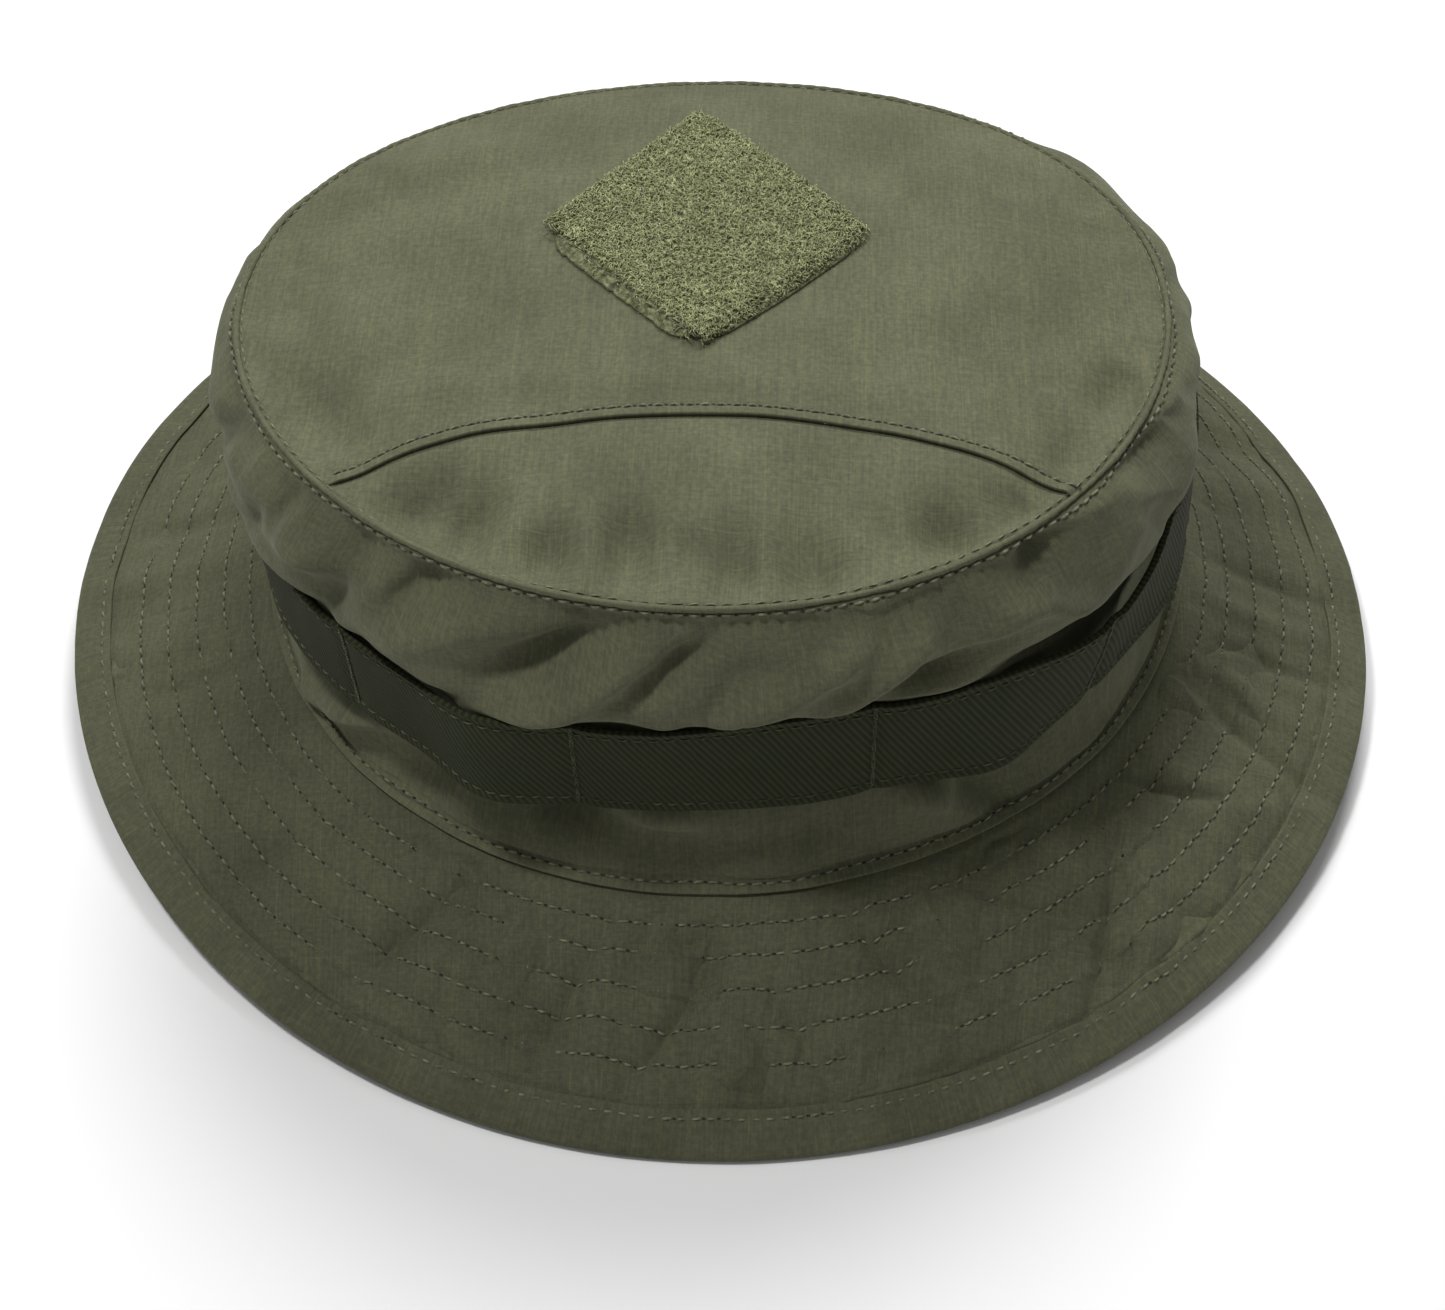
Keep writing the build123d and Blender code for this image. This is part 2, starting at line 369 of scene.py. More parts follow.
BRIM_FOLDS = (
    # angle, turn of the fold, place along the brim, length, width, height
    (-112, 0.2, 0.5, 0.35, 3.0, -1.6),
    (-95, 0.0, 0.5, 0.30, 1.8, -1.8),
    (-88, 0.1, 0.6, 0.35, 2.4, 1.4),
    (-77, 0.2, 0.5, 0.30, 2.0, 1.6),
    (-71, 0.2, 0.4, 0.30, 1.6, -1.8),
    (-58, -0.4, 0.5, 0.35, 3.0, 1.1),
    (-47, 0.3, 0.6, 0.30, 1.7, -2.0),
    (-30, 0.5, 0.5, 0.30, 1.6, -2.2),
    (-26, 0.3, 0.7, 0.30, 2.2, 1.4),
    (-12, 0.3, 0.45, 0.30, 1.5, -2.6),
    (-9, -0.2, 0.55, 0.30, 1.8, 1.8),
    (-2, 0.7, 0.50, 0.24, 1.4, -2.4),
    (3, 0.2, 0.60, 0.28, 2.0, 1.8),
    (10, -0.6, 0.60, 0.22, 1.4, -2.2),
    (19, -0.8, 0.35, 0.26, 1.5, -2.4),
    (23, -0.6, 0.50, 0.30, 2.0, 1.8),
    (33, -1.5, 0.30, 0.20, 1.3, -2.2),
    (37, -1.3, 0.45, 0.24, 1.9, 2.0),
    (40, 1.2, 0.60, 0.22, 1.3, -2.3),
    (45, 1.0, 0.65, 0.30, 2.0, 2.2),
    (57, -0.9, 0.35, 0.26, 1.4, -2.6),
    (61, -0.5, 0.55, 0.30, 1.8, 1.8),
    (68, 0.2, 0.55, 0.35, 1.3, -2.2),
    (73, 0.1, 0.45, 0.35, 1.5, 1.8),
    (79, -0.1, 0.60, 0.30, 1.3, -2.2),
    (84, 0.0, 0.45, 0.35, 1.6, 1.8),
    (90, 0.1, 0.55, 0.35, 1.4, -2.2),
    (104, 0.0, 0.50, 0.40, 3.5, 2.6),
    (112, 0.1, 0.50, 0.35, 2.5, -2.0),
)


def brim_folds(theta, along):
    total = 0.0
    for angle, lean, place, length, width, height in BRIM_FOLDS:
        gap = turn_gap(theta, angle) + lean * 20.0 * (along - place)
        total = total + height * bump(gap, width) * bump(along - place, length)
    return total * smooth(along, 0.0, 0.15) * (1 - 0.5 * smooth(along, 0.85, 1.0))


def creases(u, v, cells_u, cells_v, seed):
    """Thin valleys of a random field: 1 along them and 0 away from them."""
    return (1 - np.abs(field(u, v, cells_u, cells_v, seed))) ** 4


def brim_puckers(theta, along):
    """Fine radial wrinkles that the stitch rows draw up."""
    turn = theta / (2 * pi)
    fine = field(turn, along, 230, 8, 11) * 0.5 + field(turn + 0.03 * along, along, 120, 6, 12)
    broad = (0.8 * field(turn + 0.02 * along, along, 40, 3, 13)
             + 0.7 * field(turn - 0.02 * along, along, 92, 3, 17))
    sharp = (creases(turn + 0.02 * along, along * 0.5, 90, 4, 15)
             + creases(turn - 0.015 * along, along * 0.5, 60, 3, 16))
    strength = 0.6 + 0.4 * field(turn, along * 0.5, 14, 2, 14)
    inside = smooth(along, 0.02, 0.10) * (1 - smooth(along, 0.80, 0.86))
    worn = 0.75 + 0.45 * bump(turn_gap(theta, 12), 32) + 0.2 * bump(turn_gap(theta, 70), 30)
    return worn * (fine * strength + 2.0 * broad - 1.3 * sharp * strength) * inside


def build_brim(mat):
    """Two plies of cloth over a stiffener, with a groove under each row of stitches."""
    turns, rows = BRIM_TURNS, 96
    theta = np.linspace(0, 2 * pi, turns, endpoint=False)[:, None]
    along = np.linspace(-0.02, 0.985, rows)[None, :]
    middle = brim_middle(theta, along)
    normal = grid_normals(middle, True)
    length = brim_reach(theta)
    slope = along * length
    rise = brim_puckers(theta, along)
    for row in BRIM_ROWS:
        rise = rise - 0.42 * bump(slope - row, 0.95)
    rise = rise - 1.3 * bump(slope - 0.5, 0.85)
    rise = rise - 0.5 * smooth(slope, length - BINDING_WIDTH - 1.2, length - BINDING_WIDTH + 0.4)
    rise = rise - 0.5 * bump(slope - (length - BINDING_WIDTH - 0.5), 0.6)
    upper = middle + normal * (BRIM_THICK / 2 + rise)[..., None]
    lower = middle - normal * (BRIM_THICK / 2 + UNDER_SHARE * rise)[..., None]
    cut = slice(4, -4)               # the stiffener stops short of both seams
    faces = [(middle + side * STIFFENER_HALF * normal)[:, cut] for side in (1, -1)]
    filler = closed_sheet("brim_stiffener", *faces, np.zeros((turns + 1, rows - 8, 2)), True)
    dress(filler, STIFFENER_MAT, "interlining", "brim_interlining")
    flat_theta = np.linspace(0, 2 * pi, turns + 1)[:, None]
    fx, fy = outline(flat_theta, (1.0, 1.0))
    reach = 99.0 + 55.0 * along
    uv = np.stack([fx * reach, fy * reach], -1) * MM
    top = closed_sheet("brim_upper_cloth", upper, middle + normal * PLY_GAP, uv, True)
    under = closed_sheet("brim_under_cloth", middle - normal * PLY_GAP, lower, uv, True)
    for piece, node in ((top, "brim_upper_ply"), (under, "brim_under_ply")):
        dress(piece, mat, "ripstop", node)
    build_binding(mat)
    build_brim_stitches()


def brim_surface(theta, along, side=1):
    """Points on the top (side 1) or underside (side -1) of the brim, with normals."""
    normal = side * brim_normal(theta, along)
    rise = brim_puckers(theta, along) * (1 if side > 0 else UNDER_SHARE)
    return brim_middle(theta, along) + normal * (BRIM_THICK / 2 + rise)[..., None], normal


def build_brim_stitches():
    closed = np.linspace(0, 2 * pi, BRIM_TURNS + 1)
    reach = brim_reach(closed)
    for number, row in enumerate(BRIM_ROWS, start=1):
        wobble = 0.25 * field(closed / (2 * pi), 0.1 * number, 60, 3, 20 + number)
        for side, face, sunk in ((1, "top", 0.15), (-1, "under", 0.14)):
            at, up = brim_surface(closed, (row + wobble) / reach, side)
            sew(f"brim_row_{number}_{face}", f"brim_stitch_row_{number}", at - up * sunk, up, 30 + number)
    at, up = brim_surface(closed, 2.6 / reach)
    sew("base_seam_stitches_brim", "base_seam_stitching", at - up * 0.1, up, 37)


def build_binding(mat):
    """Folded tape over the brim's edge, with a soft round fold outside."""
    turns = BRIM_TURNS
    theta = np.linspace(0, 2 * pi, turns, endpoint=False)
    length = brim_reach(theta)
    half = BRIM_THICK / 2
    lip = -BINDING_WIDTH
    # how far from the brim's edge along the slope, and above its middle, each line of the tape runs
    section = [(lip, half - 0.6), (lip - 0.15, half + 0.2), (lip + 0.1, half + 0.72),
               (lip + 0.5, half + 0.82), (lip + 0.95, half + 0.62)]
    section += [(lip + k, half + 0.50 - 0.07 * k + 0.30 * bump(k - 5.6, 2.6) - 0.34 * bump(k - 1.9, 0.6))
                for k in (1.4, 1.7, 2.0, 2.4, 2.9, 3.6, 4.4, 5.2, 6.0, 6.8, 7.6, 8.4, 9.0)]
    section += [(-0.9 + 0.9 * sin(a), (half + 0.1) * cos(a)) for a in np.linspace(0.25, pi - 0.25, 9)]
    section += [(-k, -half - 0.35) for k in np.arange(1.6, BINDING_WIDTH, 1.3)]
    section += [(lip, -half - 0.3), (lip, -half + 0.2)]
    section += [(lip + 2, -half + 0.25), (-1.6, -half + 0.45), (-1.3, 0), (-1.6, half - 0.45)]
    rings = []
    turn = theta / (2 * pi)
    for k, (down, above) in enumerate(section):
        along = 1 + down / length
        ripple = 0.14 * field(turn, k * 0.03, 200, 4, 41) + 0.26 * field(turn, k * 0.01, 70, 3, 42)
        puff = ripple * (1 if above > 0 else 0.5) * smooth(np.array(abs(above)), 0.2, half)
        rings.append(brim_middle(theta, along) + brim_normal(theta, along) * (above + puff)[:, None])
    grid = np.stack(rings, 1)
    faces, corners_i, corners_j = grid_faces(turns, len(section), True, flip=True, tube=True)
    around = np.linspace(0, 890.0, turns + 1)
    uv = np.stack([around[corners_i], corners_j * 0.9], -1).reshape(-1, 2) * MM
    tape = new_object("brim_edge_tape", grid.reshape(-1, 3), faces.tolist(), uv)
    dress(tape, mat, "edge_tape", "brim_edge_binding")
    closed = np.linspace(0, 2 * pi, turns + 1)
    along = 1 - (BINDING_WIDTH - 1.9) / brim_reach(closed)
    for side, face in ((1, "top"), (-1, "under")):
        at, up = brim_surface(closed, along, side)
        sew(f"binding_stitches_{face}", "binding_stitching", at + up * 0.25, up, 51)


# ---- crown wall ----------------------------------------------------------------------------
LEVEL_RISE = 10.6                   # cloth between two levels of the wall
TIP_STITCH_LEVEL = 7.76             # levels of the stitches beside its two seams
BASE_STITCH_LEVEL = 0.34


WALL_LEVELS = (
    # height at Y = 0, slope along Y, half width, half depth, middle along Y
    (30.0, 0.0, 101.2, 96.2, 0.0),
    (37.0, -0.01, 99.5, 93.2, -0.4),
    (50.0, -0.04, 95.9, 86.9, -0.9),
    (62.0, -0.055, 96.4, 86.4, -1.9),
    (76.0, -0.06, 101.5, 91.9, -3.7),
    (84.0, -0.058, 102.6, 92.7, -5.0),
    (94.0, -0.054, 102.6, 90.1, -6.8),
    (103.0, -0.05, 99.1, 86.8, -8.1),
    (108.8, -0.047, 93.4, 82.0, -9.2),
)
WALL_FOLDS = (
    # angle, height, half width and half height of the fold, its turn, and how far it stands out
    (-24, 86, 20, 6, 0.1, 2.6),
    (-21, 81, 11, 3.0, 0.1, 2.6),
    (30, 82, 14, 3.0, -0.1, 1.6),
    (-18, 95, 17, 4.6, 0.62, -3.0),
    (-60, 83.5, 24, 5.5, 0.05, 1.0),
    (88, 87, 26, 8, 0.0, -2.0),
    (-90, 87, 26, 8, 0.0, -2.2),
    (-44, 90, 10, 3.5, 0.9, -1.6),
    (15, 101, 12, 3.5, 0.7, 1.4),
    (-60, 92, 12, 3.0, 0.8, -1.2),
    (63, 92, 12, 3.0, -0.8, -1.4),
    (-27, 99, 14, 5, 0.62, 1.8),
    (-33, 101, 8, 3.0, 0.9, -1.8),
    (-13, 102, 9, 2.6, 0.5, -1.6),
    (2, 91, 9, 3.0, 0.9, -1.5),
    (18, 92, 10, 3.2, 0.6, 1.4),
    (25, 88, 12, 2.6, 0.3, -1.4),
    (44, 93, 9, 3.2, -0.5, 1.6),
    (-48, 97, 9, 3.4, 0.4, 1.7),
    (-70, 101, 10, 3.4, 0.7, -1.4),
    (-11, 92, 15, 4, 0.62, 2.6),
    (-4, 98, 14, 3.0, 0.62, -2.8),
    (6, 93, 16, 4, 0.5, 1.8),
    (-30, 106, 7, 4, -0.3, -1.4),
    (-40, 104, 6, 5, 0.6, -1.8),
    (-34, 93, 12, 6, 0.3, 1.2),
    (-36, 82, 7, 2.8, 0.25, -2.6),
    (-60, 100, 16, 8, 0.2, 1.2),
    (-53, 102, 7, 2.5, 1.2, -1.2),
    (22, 99, 10, 4, 0.4, 1.8),
    (29, 103, 5, 7, 0.4, -1.2),
    (36, 100, 11, 5, 0.2, 1.6),
    (32, 90, 20, 4, 0.2, -1.1),
    (41, 106, 7, 4, 0.5, -2.4),
    (51, 81.5, 7, 2.6, 0.1, -2.2),
    (56, 99, 12, 6, 0.4, 1.0),
    (72, 98, 14, 8, 0.2, 1.0),
    (92, 94, 12, 8, 0.2, -1.4),
    (-92, 94, 12, 8, -0.2, -1.6),
    (130, 96, 16, 9, 0.3, 2.0),
    (165, 90, 14, 8, -0.3, -2.4),
    (-150, 94, 16, 9, 0.2, 1.8),
    (-120, 88, 14, 8, -0.3, -2.2),
    (-6, 48, 12, 4, 0.1, 3.0),
    (7, 41, 16, 4, 0.1, -1.0),
    (-17, 44, 14, 5, 0.2, -3.4),
    (-46, 46, 24, 4, 0.45, 3.4),
    (-34, 42, 12, 4, 0.5, -1.8),
    (28, 47, 9, 5, -0.2, 3.0),
    (33, 42, 12, 3, -0.8, -2.4),
    (60, 46, 14, 6, -0.4, 1.2),
)


WALL_NOISE = (
    # height, drift round the hat for each level, cells round and up, seed
    (1.5, 0.014, 32, 6, 65),
    (0.6, 0.01, 64, 9, 66),
    (0.55, 0.004, 34, 5, 61),
    (0.25, -0.006, 90, 9, 62),
)
TIP_LEVEL = len(WALL_LEVELS) - 1


def inside_band(x, y, z):
    """How much to draw a point of the wall in, so that it stays behind the webbing."""
    theta = np.arctan2(x / BAND[0], -y / BAND[1])
    up = (z - BAND_TOP - BAND_SLOPE * y) / BAND_WIDTH + 1
    face = band_point(theta, np.clip(up, 0, 1))
    reach = np.hypot(x, y)
    limit = np.hypot(face[..., 0], face[..., 1]) - BAND_THICK - 0.7
    held = smooth(up, -0.22, -0.02) * (1 - smooth(up, 0.95, 1.07))
    return 1 + (np.minimum(limit / reach, 1) - 1) * held


def wall_point(theta, level):
    """Outer face of the crown wall. level runs from 0 at the brim to 8 at the tip seam."""
    height, slope, half_width, half_depth, middle = (spline(column, level) for column in zip(*WALL_LEVELS))
    blend = level / TIP_LEVEL
    low_x, low_y = outline(theta, (1, 1), *OPENING_SHAPE)
    high_x, high_y = tip_oval(theta, (1, 1))
    side = OPENING_MIDDLE[0] * (1 - blend) + TIP_SIDE * blend
    x = side + half_width * (low_x * (1 - blend) + high_x * blend)
    y = middle + half_depth * (low_y * (1 - blend) + high_y * blend)
    z = height + slope * y
    out = np.zeros(np.broadcast(theta, level).shape)
    for angle, at_height, wide, tall, turn, rise in WALL_FOLDS:
        across = turn_gap(theta, angle) * 1.75
        up = z - at_height
        along = across * cos(turn) + up * sin(turn)
        beside = up * cos(turn) - across * sin(turn)
        out = out + 1.9 * rise * bump(along, wide) * bump(beside, tall)
    over = (z - BAND_TOP - BAND_SLOPE * y) / BAND_WIDTH
    loose = smooth(turn_gap(theta, -12), 0, 10) * (1 - smooth(turn_gap(theta, 64), 0, 12))
    loose = loose + 0.7 * bump(turn_gap(theta, -36), 5)
    out = out - (0.2 + 1.1 * loose) * bump(over - 0.02, 0.09)
    turns = theta / (2 * pi)
    for height_of, drift, cells_u, cells_v, seed in WALL_NOISE:
        out = out + height_of * field(turns + drift * level, level / TIP_LEVEL, cells_u, cells_v, seed)
    half_up = level / (2 * TIP_LEVEL)
    worn = 0.5 + 0.5 * field(turns, half_up, 12, 3, 64)
    out = out - 0.7 * creases(turns + 0.012 * level, half_up, 46, 4, 63) * worn
    gathers = tip_gathers(theta + 0.02 * level) * bump(TIP_LEVEL - level - 0.85, 0.5)
    out = out + (0.35 + 0.95 * bump(turn_gap(theta, 5), 66)) * gathers
    out = out * smooth(level, 0.0, 0.6) * (1 - smooth(level, 7.3, 8.0))
    # the dip at the tip seam, then the ridge along the base seam, its stitches and its foot
    out = out - 0.8 * bump(TIP_LEVEL - level, 0.12) + 1.7 * bump(level - 0.19, 0.12)
    out = out - 0.3 * bump(level - 0.42, 0.06) - 1.0 * bump(level, 0.08)
    out = out - 0.5 * bump(turn_gap(theta, 180) - 0.8, 0.5)       # centre-back seam
    x = x + out * np.sin(theta)
    y = y - out * np.cos(theta)
    factor = inside_band(x, y, z)
    x = x * factor
    y = y * factor
    return np.stack([x, y, z], -1)


def wall_face(theta, level):
    """Points of the wall's outer face at one level, with smoothed normals."""
    here = np.full(len(theta), level)
    around = wall_point(theta + 0.02, here) - wall_point(theta - 0.02, here)
    normal = np.cross(around, wall_point(theta, here + 0.12) - wall_point(theta, here - 0.12))
    normal /= np.linalg.norm(normal, axis=1, keepdims=True)
    return wall_point(theta, here), normal


def tip_gathers(theta):
    """How the cloth bunches beside the tip seam: a run of small hollows, uneven in size."""
    turn = theta / (2 * pi)
    hollows = 2.1 * np.abs(field(turn, 0.2, 40, 3, 71)) + 1.1 * np.abs(field(turn, 0.7, 66, 3, 73))
    return 0.5 * field(turn, 0.6, 90, 3, 72) - hollows


def build_wall(mat):
    turns = 1200
    theta = np.linspace(0, 2 * pi, turns, endpoint=False)[:, None]
    level = np.concatenate([np.linspace(0, 0.8, 28), np.linspace(0.85, 7.1, 96),
                            np.linspace(7.15, TIP_LEVEL, 24)])[None, :]
    outer = wall_point(theta, level)
    normal = grid_normals(outer, True)
    inner = outer - normal * CLOTH
    uv = strip_uv(620.0, turns + 1, LEVEL_RISE * level)
    wall = closed_sheet("crown_side_wall", outer, inner, uv, True)
    dress(wall, mat, "ripstop", "crown_wall")
    closed = np.linspace(0, 2 * pi, turns + 1)
    for name, node, at_level in (("tip_seam_stitches_lower", "tip_seam_stitching_lower", TIP_STITCH_LEVEL),
                                 ("base_seam_stitches", "base_seam_stitching", BASE_STITCH_LEVEL)):
        at, out = wall_face(closed, at_level)
        sew(name, node, at + out * 0.05, out, 81)
    build_inside()
    up_seam = np.linspace(0.7, 7.4, 160)
    behind = np.full(160, pi)
    for side, hand in ((-1.1, "right"), (1.1, "left")):
        at = wall_point(behind + radians(side), up_seam)
        sew(f"back_seam_stitches_{hand}", "back_seam_stitching", at, outward(behind), 84)


def inner_ring(name, node, slot, start, end, inset, thick, centre=None, reach=None):
    """Band of cloth that lies on the inside of the wall, all round or over a stretch of it."""
    closed = centre is None
    turns = 720 if closed else 24
    if closed:
        theta = np.linspace(0, 2 * pi, turns, endpoint=False)[:, None]
    else:
        theta = np.linspace(centre - reach, centre + reach, turns)[:, None]
    level = np.linspace(start, end, 48)[None, :]
    face = wall_point(theta, level)
    normal = grid_normals(face, closed)
    uv = strip_uv(600.0 if closed else 10.0, turns + 1 if closed else turns, LEVEL_RISE * level)
    band = closed_sheet(name, face - normal * inset, face - normal * (inset + thick), uv, closed)
    dress(band, LINING_MAT, slot, node)


def build_inside():
    """Sweatband and the tapes that cover the seams on the inside."""
    inner_ring("sweatband_strip", "sweatband", "sweatband_cotton", start=0.12, end=2.5, inset=1.1, thick=1.2)
    inner_ring("tip_seam_tape", "tip_seam_binding", "seam_tape", start=6.9, end=7.86, inset=1.0, thick=0.7)
    inner_ring("back_seam_tape", "back_seam_binding", "seam_tape", start=2.6, end=6.8, inset=1.0, thick=0.7,
               centre=pi, reach=radians(3.0))
    theta = np.linspace(0, 2 * pi, 721)
    for number, at_level in enumerate((0.35, 2.3), start=1):
        at = wall_point(theta, np.full(721, at_level)) - outward(theta) * 2.55
        sew(f"sweatband_stitches_{number}", "sweatband_stitching", at, -outward(theta), 86)


def outward(theta):
    return np.stack([np.sin(theta), -np.cos(theta), 0.15 + 0 * theta], -1)


# ---- crown top -----------------------------------------------------------------------------
TOP_FOLDS = (
    # X, Y, half length, half width, turn, depth
    (-57, -68, 6, 4.5, 1.1, -1.4),
    (-50, -67, 8, 5, 1.2, -3.0),
    (-42, -72, 9, 5.0, 1.2, -4.2),
    (-27, -78, 6, 4.5, 1.4, -2.6),
    (-12, -78, 8, 5.5, 1.5, -3.8),
    (-1, -80, 5, 4, 1.57, -1.6),
    (7, -82, 8, 4.5, 1.6, -2.8),
    (21, -80, 9, 5.5, 1.75, -3.4),
    (34, -74, 8, 3.5, 1.9, -1.4),
    (46, -72, 6, 8, 1.0, -3.4),
    (60, -66, 6, 7, 0.9, -1.8),
    (80, -33, 8, 6, 1.2, -2.4),
    (70, -50, 8, 5, 1.4, -1.6),
    (-81, -17, 10, 6, 2.0, -1.6),
    (-73, -44, 16, 7, 2.3, -2.0),
    (-62, -32, 20, 7, 0.5, -1.0),
    (-62, 2, 22, 10, 1.0, 0.8),
    (50, -30, 20, 8, -0.5, -1.2),
    (60, 8, 22, 10, -1.0, 0.8),
    (-10, -38, 40, 5, 0.0, 0.8),
    (0, -57, 40, 7, 0.0, 0.9),
    (40, 40, 18, 8, 0.8, -0.8),
    (-38, 42, 20, 9, -0.7, -0.7),
    (-52, 24, 14, 6, 0.2, -0.8),
    (-64, 30, 22, 9, 0.25, 1.4),
    (-70, -4, 22, 9, 0.15, -2.0),
    (66, -18, 18, 6, -0.6, -1.2),
    (-30, -56, 12, 9, 1.2, -0.9),
    (28, -60, 12, 9, 1.8, -0.9),
)


def plan_radius(x, y):
    """0 in the middle of the crown top and 1 at the tip seam, and the angle round it."""
    x = x - TIP_SIDE
    y = y - TIP_LEAN
    theta = np.arctan2(x / TIP[0], -y / TIP[1])
    for _ in range(3):
        ox, oy = tip_oval(theta, TIP)
        theta = theta + np.arctan2(x, -y) - np.arctan2(ox, -oy)
    ox, oy = tip_oval(theta, TIP)
    reach = np.hypot(x, y) / np.maximum(np.hypot(ox, oy), 1e-6)
    return np.minimum(reach, 1.0), theta


def top_height(x, y):
    reach, theta = plan_radius(x, y)
    z = TIP_HEIGHT + TIP_SLOPE * y * smooth(reach, 0.2, 1.0) + DOME_RISE * (1 - reach ** 2.6) ** 0.85
    seam = 1 - smooth(reach, 0.955, 1.0)
    for cx, cy, length, width, turn, depth in TOP_FOLDS:
        along = (x - cx) * cos(turn) + (y - cy) * sin(turn)
        beside = (y - cy) * cos(turn) - (x - cx) * sin(turn)
        z = z + 1.5 * depth * bump(along, length) * bump(beside, width) * seam
    u, v = x / 260 + 0.5, y / 260 + 0.5
    z = z + 0.5 * field(u, v, 9, 9, 91) + 0.12 * field(u, v, 30, 30, 92)
    gathers = tip_gathers(theta) * bump(reach - 0.925, 0.055) * (1 - smooth(reach, 0.97, 1.0))
    z = z + (0.35 + 0.65 * bump(turn_gap(theta, 0), 62)) * gathers
    return z - 0.6 * smooth(reach, 0.985, 1.0)


def arc_y(x):
    """Curved seam across the crown top, as Y over X."""
    return ARC_APEX - ARC_DEPTH * np.abs((x - 1.0) / ARC_REACH) ** 2.1


def arc_fade(x):
    """1 along the arc seam, falling to 0 where it runs into the tip seam."""
    return 1 - smooth(np.abs(x), 0.95 * ARC_REACH, 1.0 * ARC_REACH)


def arc_corner(side):
    """Angle round the tip seam where the arc seam meets it, on one side."""
    theta = np.linspace(0.3, 1.5, 2400) * side
    x, y, _ = tip_curve(theta)
    return theta[np.argmin(np.abs(y - arc_y(x)))]


def top_panel(name, node, mat, edge, theta_from, theta_to, columns, rows, lift):
    """Panel between the arc seam and a stretch of the tip seam. edge is how far behind the arc it starts."""
    f = np.linspace(0, 1, columns)
    theta = theta_from + (theta_to - theta_from) * f
    sx, sy, _ = tip_curve(theta)
    ease = 0.5 - 0.5 * np.cos(pi * f)
    ax = sx[0] + (sx[-1] - sx[0]) * (0.6 * ease + 0.4 * f)
    ay = arc_y(ax) + edge
    ay[0], ay[-1] = sy[0], sy[-1]
    v = np.linspace(0, 1, rows)[None, :]
    x = ax[:, None] + (sx - ax)[:, None] * v
    y = ay[:, None] + (sy - ay)[:, None] * v
    outer = np.stack([x, y, top_height(x, y) + lift(x, y)], -1)
    uv = np.stack([x, y], -1) * MM
    inner = outer - np.array([0, 0, CLOTH])
    normal = np.cross(outer[columns // 2, rows // 2] - outer[columns // 2 - 1, rows // 2],
                      outer[columns // 2, rows // 2 + 1] - outer[columns // 2, rows // 2])
    if normal[2] < 0:
        outer, inner, uv = outer[::-1], inner[::-1], uv[::-1]
    panel = weld(closed_sheet(name, outer, inner, uv, False))
    dress(panel, mat, "ripstop", node)


def lap(x, y):
    """How far the main panel stands up where it is folded over the arc seam."""
    behind = y - arc_y(x)
    return arc_fade(x) * (0.75 * bump(behind, 3.2) - 0.3 * bump(behind - ARC_STITCH, 0.6))


def tuck(x, y):
    """How far the front panel dips where it goes under the main panel."""
    return -0.5 * arc_fade(x) * bump(y - arc_y(x), 1.1)


def build_top(mat):
    left, right = arc_corner(-1), arc_corner(1)
    top_panel("crown_top_cloth", "crown_top_panel", mat, edge=-0.3, theta_from=left, theta_to=right - 2 * pi,
              columns=460, rows=330, lift=lap)
    top_panel("crown_front_cloth", "crown_front_panel", mat, edge=0.9, theta_from=left, theta_to=right,
              columns=300, rows=90, lift=tuck)
    x = np.linspace(-70, 71, 240)
    y = arc_y(x) + ARC_STITCH
    at = np.stack([x, y, top_height(x, y) + lap(x, y) + 0.05], -1)
    up = np.tile(np.array([[0, -0.1, 1.0]]), (len(x), 1))
    sew("arc_seam_stitches", "arc_seam_stitching", at + up * 0.02, up, 95)
    theta = np.linspace(0, 2 * pi, 1081)
    sx, sy, _ = tip_curve(theta)
    reach = 0.989
    x = TIP_SIDE + (sx - TIP_SIDE) * reach
    y = TIP_LEAN + (sy - TIP_LEAN) * reach
    at = np.stack([x, y, top_height(x, y)], -1)
    up = outward(theta) * 0.3 + np.array([0, 0, 1.0])
    sew("tip_seam_stitches_upper", "tip_seam_stitching_upper", at, up, 96, radius=0.18, hole=0)


def build_tip_ridge(mat):
    """Turned edge that stands up along the tip seam."""
    turns, sides = 1900, 10
    theta = np.linspace(0, 2 * pi, turns, endpoint=False)
    x, y, z = tip_curve(theta)
    turn = theta / (2 * pi)
    radius = 0.56 + 0.12 * field(turn, 0.3, 120, 3, 101) + 0.10 * np.abs(np.sin(turn * pi * 190))
    rings = []
    for q in range(sides):
        angle = 2 * pi * q / sides
        out = radius * cos(angle) + 0.1
        up = radius * sin(angle) - 0.1
        rings.append(np.stack([x + out * np.sin(theta), y - out * np.cos(theta), z + up], -1))
    grid = np.stack(rings, 1)
    faces, corners_i, corners_j = grid_faces(turns, sides, True, tube=True)
    uv = (np.stack([corners_i * 0.52, corners_j * 0.55], -1) * MM).reshape(-1, 2)
    dress(new_object("tip_seam_ridge", grid.reshape(-1, 3), faces.tolist(), uv), mat, "ripstop")


